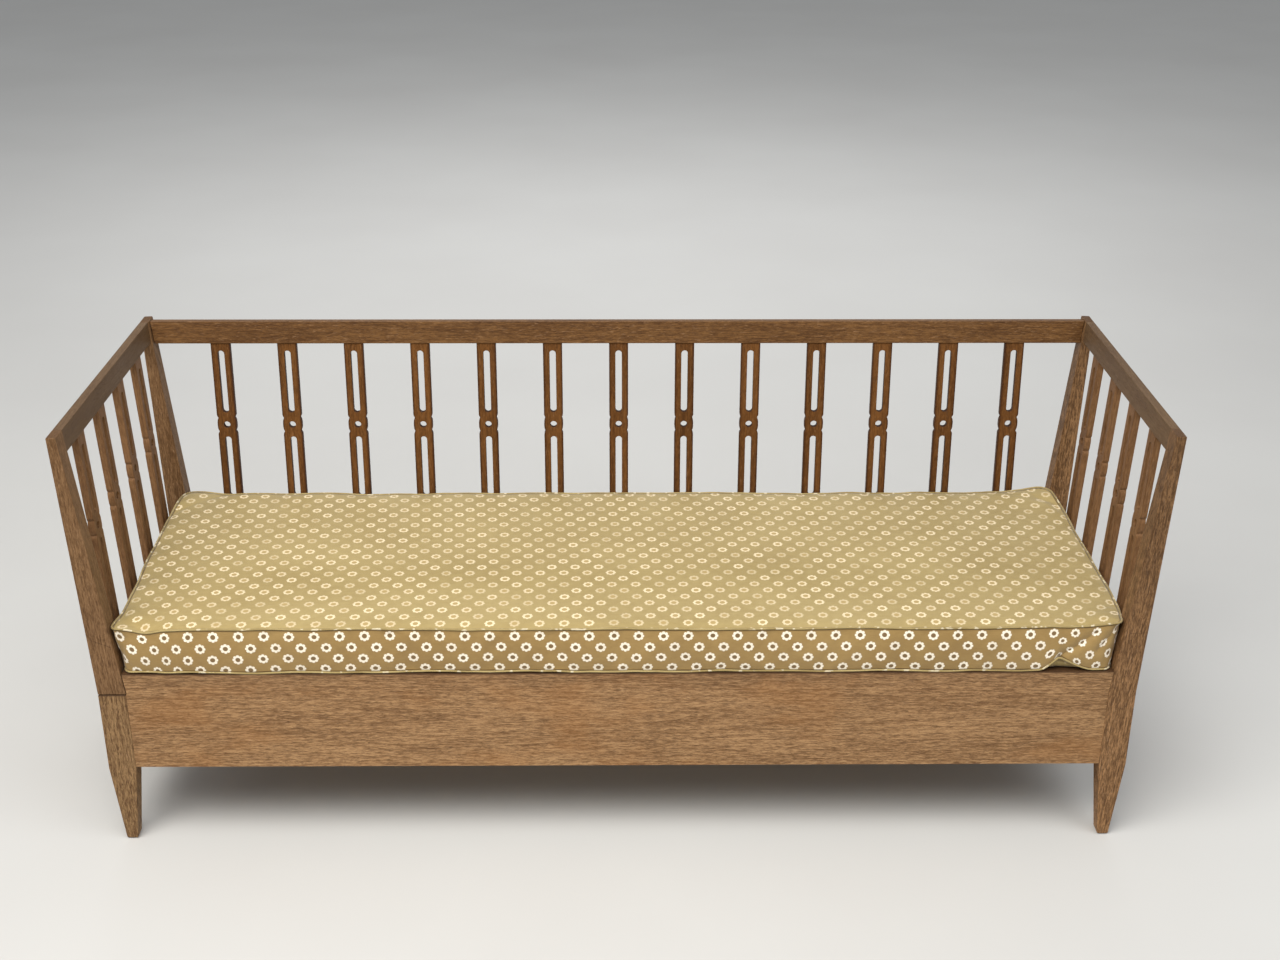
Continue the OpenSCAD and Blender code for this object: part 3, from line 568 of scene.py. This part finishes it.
class Mattress:
    """A box mattress as one grid: top and bottom panels joined by a border, with both seams as edge loops."""

    def __init__(self):
        self.centre = (MATTRESS_LOW + MATTRESS_HIGH) / 2
        self.half = (MATTRESS_HIGH - MATTRESS_LOW) / 2
        self.xs = lines(-self.half.x, self.half.x, EDGE_ZONE, EDGE_CELL, MIDDLE_CELL)
        self.ys = lines(-self.half.y, self.half.y, EDGE_ZONE / 2, EDGE_CELL, MIDDLE_CELL)
        nx = len(self.xs) - 1
        ny = len(self.ys) - 1
        # Grid places round the edge, anticlockwise from the front left corner
        self.edge = ([(i, 0) for i in range(nx)] + [(nx, j) for j in range(ny)]
                     + [(i, ny) for i in range(nx, 0, -1)] + [(0, j) for j in range(ny, 0, -1)])
        self.points = []
        self.top_cloth = []
        self.border_cloth = []
        self.from_seam = []
        self.swell = []
        self.index = {}
        for level in range(BORDER_ROWS + 1):
            whole = level in (0, BORDER_ROWS)
            places = [(i, j) for i in range(nx + 1) for j in range(ny + 1)] if whole else self.edge
            for i, j in places:
                self.add_point(i, j, level)
        self.faces = []
        self.panels = []
        for i in range(nx):
            for j in range(ny):
                square = [(i, j), (i + 1, j), (i + 1, j + 1), (i, j + 1)]
                self.add_face([(*c, BORDER_ROWS) for c in square], 0)
                self.add_face([(*c, 0) for c in reversed(square)], 0)
        for level in range(BORDER_ROWS):
            for a, b in zip(self.edge, self.edge[1:] + self.edge[:1]):
                self.add_face([(*a, level), (*b, level), (*b, level + 1), (*a, level + 1)], 1)

    def add_point(self, i, j, level):
        """Places one point of the start shape. The level runs from the lower seam to the upper one."""
        share = level / BORDER_ROWS
        x, y = self.xs[i], self.ys[j]
        on_edge = i in (0, len(self.xs) - 1) or j in (0, len(self.ys) - 1)
        radius = REAR_CORNER if y > 0 else LOWER_CORNER + (TOP_CORNER - LOWER_CORNER) * share
        half_x = self.half.x - SEAM_SIDE
        half_y = self.half.y - SEAM_FRONT
        px, py = round_corner(x * half_x / self.half.x, y * half_y / self.half.y, half_x, half_y, radius)
        px -= self.pinch(x, y, share)
        py += REAR_REACH * max(0.0, y / self.half.y) ** 3 * share
        pz = -self.half.z + SEAM_Z + share * 2 * (self.half.z - SEAM_Z)
        if not on_edge:
            pz = self.half.z - TOP_START if level else -self.half.z + BOTTOM_START
        # Seams wander a little, and the cloth next to them follows
        near = math.exp(-min(self.half.x - abs(x), self.half.y - abs(y)) / WANDER_REACH)
        around = x + math.copysign(y + self.half.y, x)
        if on_edge or level:
            pull = near * abs(2 * share - 1) ** 2
            long = WANDER_LONG[0] * wave(around, WANDER_LONG[1], level)
            short = WANDER_SHORT[0] * wave(around, WANDER_SHORT[1], level + 3)
            pz += pull * (long + short) * MM
            out = near * WANDER_OUT[0] * wave(around, WANDER_OUT[1], share + 7) * MM
            px += out * (math.copysign(1, x) if i in (0, len(self.xs) - 1) else 0)
            py += out * (math.copysign(1, y) if j in (0, len(self.ys) - 1) else 0)
        for side_x, side_y, height, reach in EARS:
            away = math.hypot(x - side_x * self.half.x, y - side_y * self.half.y)
            pz += height * math.exp(-(away / reach) ** 2) * share ** 2
        dip_x, dip_depth, dip_reach = DIP
        sag = math.exp(-((x - dip_x) / dip_reach) ** 2 - ((y + self.half.y) / dip_reach) ** 2)
        pz -= dip_depth * sag * share ** 3
        lift = peak(x + self.centre.x) * math.exp(-(y + self.half.y) / PEAK_DEPTH)
        pz += lift * (1 - share) ** 1.2
        self.index[(i, j, level)] = len(self.points)
        self.points.append(Vector((px, py, pz)) + self.centre)
        self.top_cloth.append(self.top_place(x, y))
        self.border_cloth.append(self.border_place(x, y + self.half.y, (2 * share - 2) * self.half.z))
        panel = level in (0, BORDER_ROWS)
        inside = min(self.half.x - abs(x), self.half.y - abs(y)) if panel else 0.0
        self.from_seam.append((inside + min(share, 1 - share) * 2 * self.half.z) / MM)
        beside_post = abs(x) > self.half.x - EDGE_CELL and y + self.half.y < POST_ZONE
        border_swell = SWELL_BY_POST if beside_post else SWELL_BORDER
        self.swell.append(border_swell if not panel else SWELL_TOP if level else SWELL_BOTTOM)

    def top_place(self, x, y):
        """Place in the cut cloth of the top, in millimetres. The top was stretched unevenly in use."""
        u = x / self.half.x
        v = y / self.half.y / 2
        along = sum(a * b for a, b in zip(DRIFT_ALONG, (1, u, u * u, u * v, v * v)))
        back = sum(a * b for a, b in zip(DRIFT_BACK, (1, v, u * u, u * v, v * v)))
        return Vector((x / MM - along, (y + self.half.y) / MM - back, 0))

    @staticmethod
    def border_place(x, depth, z):
        """Place in the cut cloth of the border, in millimetres, with the stretch it was sewn with."""
        drift = sum(a * b for a, b in zip(BORDER_DRIFT, (1, x, x * x)))
        scale = 1 - BORDER_STRETCH * min(1.0, max(0.0, (STRETCH_START - x) / STRETCH_RUN))
        front = math.exp(-(depth / BORDER_FRONT) ** 2)
        return Vector((x / MM - drift * front, depth / MM, z / MM * scale))

    def pinch(self, x, y, share):
        """How far the posts draw a point in towards the middle."""
        right = x > 0
        depth = y + self.half.y
        low, top = PINCH_LOW[right], PINCH_TOP[right]
        amount = (low + (top - low) * share) * math.exp(-(depth / PINCH_REACH) ** 2)
        if not right:
            amount += LEFT_SLANT * max(0.0, 1 - depth / LEFT_SLANT_REACH)
        amount += REAR_PINCH[right] * math.exp(-((self.half.y - y) / REAR_PINCH[2]) ** 2)
        near = max(0.0, 1 - (self.half.x - abs(x)) / EDGE_ZONE)
        return math.copysign(amount * near * near * (3 - 2 * near), x)

    def add_face(self, keys, panel):
        self.faces.append([self.index[k] for k in keys])
        self.panels.append(panel)

    def seam(self, level):
        """Indices of the points along one seam."""
        return [self.index[(i, j, level)] for i, j in self.edge]

    def make(self, materials):
        mesh = bpy.data.meshes.new("mattress_cover")
        mesh.from_pydata([tuple(p) for p in self.points], [], self.faces)
        for material in materials:
            mesh.materials.append(material)
        mesh.polygons.foreach_set("material_index", self.panels)
        mesh.polygons.foreach_set("use_smooth", [True] * len(self.faces))
        for name, places in (("top_cloth", self.top_cloth), ("border_cloth", self.border_cloth)):
            cloth = mesh.attributes.new(name, "FLOAT_VECTOR", "POINT")
            cloth.data.foreach_set("vector", [value for row in places for value in row])
        rim = mesh.attributes.new("from_seam", "FLOAT", "POINT")
        rim.data.foreach_set("value", self.from_seam)
        seams = [set(self.seam(0)), set(self.seam(BORDER_ROWS))]
        crease = mesh.attributes.new("crease_edge", "FLOAT", "EDGE")
        on_seam = [any(set(e.vertices) <= seam for seam in seams) for e in mesh.edges]
        crease.data.foreach_set("value", [float(s) for s in on_seam])
        piece = bpy.data.objects.new("mattress_cover", mesh)
        bpy.context.scene.collection.objects.link(piece)
        return piece

    def swell_cloth(self, piece):
        """Blows the cover up a little with cloth simulation, its seams held, and limits how far it moves."""
        held = piece.vertex_groups.new(name="seams")
        held.add(self.seam(0) + self.seam(BORDER_ROWS), 1.0, "REPLACE")
        cloth = piece.modifiers.new("Cloth", "CLOTH")
        settings = cloth.settings
        settings.quality = 5
        settings.mass = 0.3
        settings.tension_stiffness = 12
        settings.compression_stiffness = 12
        settings.shear_stiffness = 4
        settings.bending_stiffness = 0.4
        settings.use_pressure = True
        settings.uniform_pressure_force = PRESSURE
        settings.effector_weights.gravity = 0
        settings.shrink_min = SLACK
        settings.vertex_group_mass = "seams"
        scene = bpy.context.scene
        for number in range(1, CLOTH_FRAMES + 1):
            scene.frame_set(number)
        swollen = piece.evaluated_get(bpy.context.evaluated_depsgraph_get())
        moved = [v.co.copy() for v in swollen.data.vertices]
        piece.modifiers.remove(cloth)
        piece.vertex_groups.clear()
        scene.frame_set(1)
        for vertex, start, end, most in zip(piece.data.vertices, self.points, moved, self.swell):
            step = end - start
            if step.length > 0:
                vertex.co = start + step * (most * math.tanh(step.length / most) / step.length)
                self.points[vertex.index] = vertex.co.copy()

    def piping(self, name, level, lift, material):
        """A fabric-covered cord along one seam."""
        loop = [self.points[k] for k in self.seam(level)]
        count = len(loop)
        smooth = [(loop[k - 1] + 6 * loop[k] + loop[(k + 1) % count]) / 8 for k in range(count)]
        points = []
        for k, place in enumerate(smooth):
            run = (smooth[(k + 1) % count] - smooth[k - 1]).normalized()
            out = run.cross(UPRIGHT).normalized()
            up = out.cross(run).normalized()
            radius = PIPING_RADIUS * (1 + PIPING_UNEVEN * wave(k, PIPING_WAVE, level))
            centre = place + out * PIPING_OUT + up * lift
            for side in range(PIPING_SIDES):
                turn = math.tau * side / PIPING_SIDES
                points.append(centre + (out * math.cos(turn) + up * math.sin(turn)) * radius)
        faces = []
        for k in range(count):
            near = k * PIPING_SIDES
            far = (k + 1) % count * PIPING_SIDES
            for side in range(PIPING_SIDES):
                after = (side + 1) % PIPING_SIDES
                faces.append([near + side, far + side, far + after, near + after])
        mesh = bpy.data.meshes.new(name)
        mesh.from_pydata([tuple(p) for p in points], [], faces)
        mesh.polygons.foreach_set("use_smooth", [True] * len(faces))
        mesh.materials.append(material)
        piece = bpy.data.objects.new(name, mesh)
        bpy.context.scene.collection.objects.link(piece)
        return piece


def apply_modifiers(piece):
    """Replaces a piece's mesh by its shape with all modifiers."""
    shape = piece.evaluated_get(bpy.context.evaluated_depsgraph_get())
    mesh = bpy.data.meshes.new_from_object(shape)
    piece.modifiers.clear()
    piece.data = mesh


def fold_border(piece):
    """Presses the diagonal folds into the front border and draws the cloth towards them."""
    front = MATTRESS_LOW.y + FOLD_ZONE
    for vertex in piece.data.vertices:
        place = vertex.co
        if place.y > front:
            continue
        for start, end, depth, width in FOLDS:
            a = Vector(start)
            run = Vector(end) - a
            here = Vector((place.x, place.z)) - a
            share = here.dot(run) / run.length_squared
            beyond = max(0.0, -share, share - 1) * run.length
            side = here - run * share
            strength = math.exp(-(beyond / width) ** 2) * math.exp(-(side.length / width) ** 2)
            vertex.co.y += depth * strength
            vertex.co.x -= side.x * FOLD_DRAW * strength
            vertex.co.z -= side.y * FOLD_DRAW * strength


# Light and dark ground of the cover, its flowers and their eyes. Top and border are one satin: the top's
# yellower ground and its creamier flowers and eyes are painted sheen, and the border's darker ground is
# painted shade
SHEEN_TOP_GROUND = colour("b09b66"), colour("937d49")
SHEEN_TOP_FLOWER = colour("f0ddb7"), colour("b1955e")
SHADED_BORDER_GROUND = colour("a58853"), colour("8a6c3b")
BORDER_FLOWER = colour("f8edd8"), colour("6f5638")
PIPING_FLOWER = colour("efe3c4")
# Each piping: its name, its seam, and how far it lies above the seam
PIPINGS = [
    ("mattress_piping_top", BORDER_ROWS, 0.6 * MM),
    ("mattress_piping_bottom", 0, -0.2 * MM),
]


def add_mattress():
    # The top's flowers are fainter than the border's: painted sheen
    top = satin("satin_top", False, *SHEEN_TOP_GROUND, *SHEEN_TOP_FLOWER, flower_low=0.4, flower_high=0.85)
    border = satin("satin_border", True, *SHADED_BORDER_GROUND, *BORDER_FLOWER, flower_low=0.88, flower_high=1.0)
    piping = piping_cloth("satin_piping", *SHEEN_TOP_GROUND, PIPING_FLOWER)
    mattress = Mattress()
    cover = mattress.make([top, border])
    mattress.swell_cloth(cover)
    cover.modifiers.new("Subdivision", "SUBSURF").levels = 1
    apply_modifiers(cover)
    fold_border(cover)
    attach(cover, "mattress")
    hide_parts("mattress")
    for name, level, lift in PIPINGS:
        cord = mattress.piping(name, level, lift, piping)
        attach(cord, "mattress")


# ---------- Finish of the CAD nodes ----------

# Light and dark tone of each group of boards
APRON_COLOURS = colour("b0895f"), colour("7b5938")
LEG_COLOURS = colour("94744e"), colour("64472b")
LEFT_POST_COLOURS = colour("856443"), colour("583c20")
RIGHT_POST_COLOURS = colour("a37a51"), colour("694a2c")
END_RAIL_COLOURS = colour("70583d"), colour("4f3925")
BACK_RAIL_COLOURS = colour("77542f"), colour("4e3116")
SLAT_COLOURS = colour("784f28"), colour("462a12")
END_SLAT_COLOURS = colour("87623f"), colour("5a3c20")

# Rounding of the edges
BOARD_EDGE = 1.2 * MM
APRON_EDGE = 1.0 * MM
INNER_EDGE = 0.8 * MM
SLAT_EDGE = 0.6 * MM
METAL_EDGE = 0.3 * MM
EDGE_SEGMENTS = 2
EDGE_ANGLE = math.radians(32)
WELD_DISTANCE = 0.01 * MM


def soften(node, width):
    """Rounds a node's edges slightly and shades it smoothly, without touching its mesh."""
    piece = NODES[node]
    weld = piece.modifiers.new("Weld", "WELD")
    weld.merge_threshold = WELD_DISTANCE
    bevel = piece.modifiers.new("Bevel", "BEVEL")
    bevel.width = width
    bevel.segments = EDGE_SEGMENTS
    bevel.limit_method = "ANGLE"
    bevel.angle_limit = EDGE_ANGLE
    bevel.use_clamp_overlap = True
    bevel.loop_slide = False
    normals = piece.modifiers.new("Normals", "WEIGHTED_NORMAL")
    normals.keep_sharp = False


def dress(node, material):
    """Gives a CAD node its material."""
    for slot in NODES[node].material_slots:
        slot.material = material


def slat_names(side):
    return sorted(name for name in NODES if name.startswith(side + "_slat_"))


def finish_wood():
    left_mark = hairline((-893, 407), (-863, 393), 0.6)
    right_mark = hairline((872, 416), (900, 417), 0.5)
    # Painted shade in the gap at the cut between post and leg
    cut_shade = hairline((-910, CUT_HEIGHT / MM), (-840, CUT_HEIGHT / MM), 2.5, 0.4)
    boards = [
        ("left_front_leg", LEG_COLOURS, UPRIGHT, 1.7, {"marks": [cut_shade]}),
        ("left_rear_leg", LEG_COLOURS, UPRIGHT, 1.7, {}),
        ("left_front_post", LEFT_POST_COLOURS, LEFT_LEAN, 0.9, {"marks": [left_mark, cut_shade]}),
        ("left_rear_post", LEFT_POST_COLOURS, LEFT_LEAN, 0.9, {}),
        ("right_front_post", RIGHT_POST_COLOURS, RIGHT_LEAN, 1.4, {"dark_top": 0.6, "marks": [right_mark]}),
        ("right_rear_post", RIGHT_POST_COLOURS, RIGHT_LEAN, 1.4, {"dark_top": 0.6}),
    ]
    for node, tones, along, contrast, options in boards:
        across = ALONG_X if along == UPRIGHT else ALONG_Y
        dress(node, oak(node, along, across, *tones, contrast=contrast, **options))
        soften(node, BOARD_EDGE)
    for side, lean in (("left", LEFT_LEAN), ("right", RIGHT_LEAN)):
        for place in ("top", "lower"):
            node = f"{side}_{place}_rail"
            dress(node, oak(node, ALONG_Y, lean, *END_RAIL_COLOURS, contrast=0.5))
            soften(node, BOARD_EDGE)
        for node in slat_names(side):
            dress(node, oak(node, lean, ALONG_Y, *END_SLAT_COLOURS, contrast=0.6))
            soften(node, SLAT_EDGE)
    for node in ("back_top_rail", "back_lower_rail"):
        dress(node, oak(node, ALONG_X, BACK_UP, *BACK_RAIL_COLOURS, top_wear_and_highlight=0.05, contrast=0.9))
        soften(node, BOARD_EDGE)
    for node in slat_names("back"):
        dress(node, oak(node, BACK_UP, ALONG_X, *SLAT_COLOURS, contrast=0.55, edge_shade=0.75, gloss=0.1))
        soften(node, SLAT_EDGE)
    apron_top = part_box("front_apron")[1].z / MM
    # Painted shadow of the mattress on the front apron: a soft band and a dark line right under its edge
    front_shadows = [shade_band(apron_top, 32, 0.2), shade_band(apron_top, 3.5, 0.85)]
    for node, along, marks in (("front_apron", ALONG_X, front_shadows), ("rear_apron", ALONG_X, []),
                               ("left_side_apron", ALONG_Y, []), ("right_side_apron", ALONG_Y, [])):
        dress(node, oak(node, along, UPRIGHT, *APRON_COLOURS, contrast=1.2, stains=0.3, marks=marks))
        soften(node, APRON_EDGE)


def finish_inner_pieces():
    for node, along in (("corner_blocks", UPRIGHT), ("front_ledger", ALONG_X), ("rear_ledger", ALONG_X),
                        ("stop_board", ALONG_Y), ("base_slats", ALONG_Y), ("back_dowels", UPRIGHT),
                        ("button_spacers", ALONG_X), ("turn_button_front", ALONG_Y),
                        ("turn_button_rear", ALONG_Y)):
        across = ALONG_X if along != ALONG_X else ALONG_Y
        dress(node, sawn_wood(node, along, across))
        soften(node, INNER_EDGE)


def finish_metal():
    brass = metal("aged_brass", colour("c8a45c"), colour("8f7038"), colour("4e3d20"), 0.28, 0.5)
    steel = metal("plain_steel", colour("b9babc"), colour("8b8c8f"), colour("6b5548"), 0.25, 0.45)
    for node in ("hinge_fixed_leaves", "hinge_moving_leaves", "hinge_screws_fixed", "hinge_screws_moving"):
        dress(node, brass)
    for node in ("hinge_pins", "ledger_screws", "button_screws", "lever_bars", "lever_screws"):
        dress(node, steel)
    for node in ("hinge_fixed_leaves", "hinge_moving_leaves", "lever_bars"):
        soften(node, METAL_EDGE)


# ---------- Camera, light and floor ----------

CAMERA_PLACE = Vector((0.0013, -2.767, 1.8136))
CAMERA_ANGLES = (24.25, 0.778, 0.225)     # Down, to the right, and turned about the view, in degrees
LENS = 46.6
SENSOR_WIDTH = 36
SKY_COLOUR = (0.93, 0.96, 1.0, 1.0)
SKY_STRENGTH = 0.42
# Each light: name, place, aim, size, power and tint
LIGHTS = [
    ("key", (-1.1, -1.9, 3.5), (0, 0, 0.3), (3.0, 2.4), 175, (1.0, 0.98, 0.95)),
    ("back", (0.0, 3.4, 3.2), (0, 4.4, 0), (4.0, 1.6), 75, (0.97, 0.98, 1.0)),
    ("fill", (2.2, -1.6, 3.0), (0, 0, 0.4), (2.4, 2.0), 45, (0.96, 0.98, 1.0)),
]
FLOOR_REACH = 40.0
FLOOR_TONES = colour("c3c1bd"), colour("cecdc9")
FLOOR_CLOUD = 900


def add_camera():
    pitch, yaw, roll = (math.radians(a) for a in CAMERA_ANGLES)
    forward = Vector((math.sin(yaw) * math.cos(pitch), math.cos(yaw) * math.cos(pitch), -math.sin(pitch)))
    right = Vector((math.cos(yaw), -math.sin(yaw), 0))
    up = right.cross(forward)
    side = math.cos(roll) * right + math.sin(roll) * up
    top = math.cos(roll) * up - math.sin(roll) * right
    data = bpy.data.cameras.new("camera")
    data.lens = LENS
    data.sensor_width = SENSOR_WIDTH
    camera = bpy.data.objects.new("camera", data)
    turn = Matrix((side, top, -forward)).transposed().to_4x4()
    camera.matrix_world = Matrix.Translation(CAMERA_PLACE) @ turn
    bpy.context.scene.collection.objects.link(camera)
    bpy.context.scene.camera = camera


def soft_light(name, place, aim, size, power, tint):
    data = bpy.data.lights.new(name, "AREA")
    data.shape = "RECTANGLE"
    data.size, data.size_y = size
    data.energy = power
    data.color = tint
    light = bpy.data.objects.new(name, data)
    light.location = place
    light.rotation_euler = (Vector(aim) - Vector(place)).to_track_quat("-Z", "Y").to_euler()
    bpy.context.scene.collection.objects.link(light)


def add_lights():
    world = bpy.data.worlds.new("studio")
    world.use_nodes = True
    background = world.node_tree.nodes["Background"]
    background.inputs["Color"].default_value = SKY_COLOUR
    background.inputs["Strength"].default_value = SKY_STRENGTH
    bpy.context.scene.world = world
    for light in LIGHTS:
        soft_light(*light)
    bpy.context.scene.view_settings.view_transform = "Standard"


def add_floor():
    """A large pale floor with a faint, even tone."""
    mesh = bpy.data.meshes.new("floor")
    corners = [(sx * FLOOR_REACH, sy * FLOOR_REACH, 0) for sx, sy in ((-1, -1), (1, -1), (1, 1), (-1, 1))]
    mesh.from_pydata(corners, [], [(0, 1, 2, 3)])
    g = Graph("pale_floor")
    cloud = g.noise(g.position(), (FLOOR_CLOUD, FLOOR_CLOUD, FLOOR_CLOUD), detail=4.0)
    base = g.mix(cloud, *FLOOR_TONES)
    mesh.materials.append(g.finish(base, 0.6, None, 0.0, Specular_IOR_Level=0.2))
    floor = bpy.data.objects.new("floor", mesh)
    bpy.context.scene.collection.objects.link(floor)


add_camera()
add_lights()
add_floor()
finish_wood()
finish_inner_pieces()
finish_metal()
add_mattress()
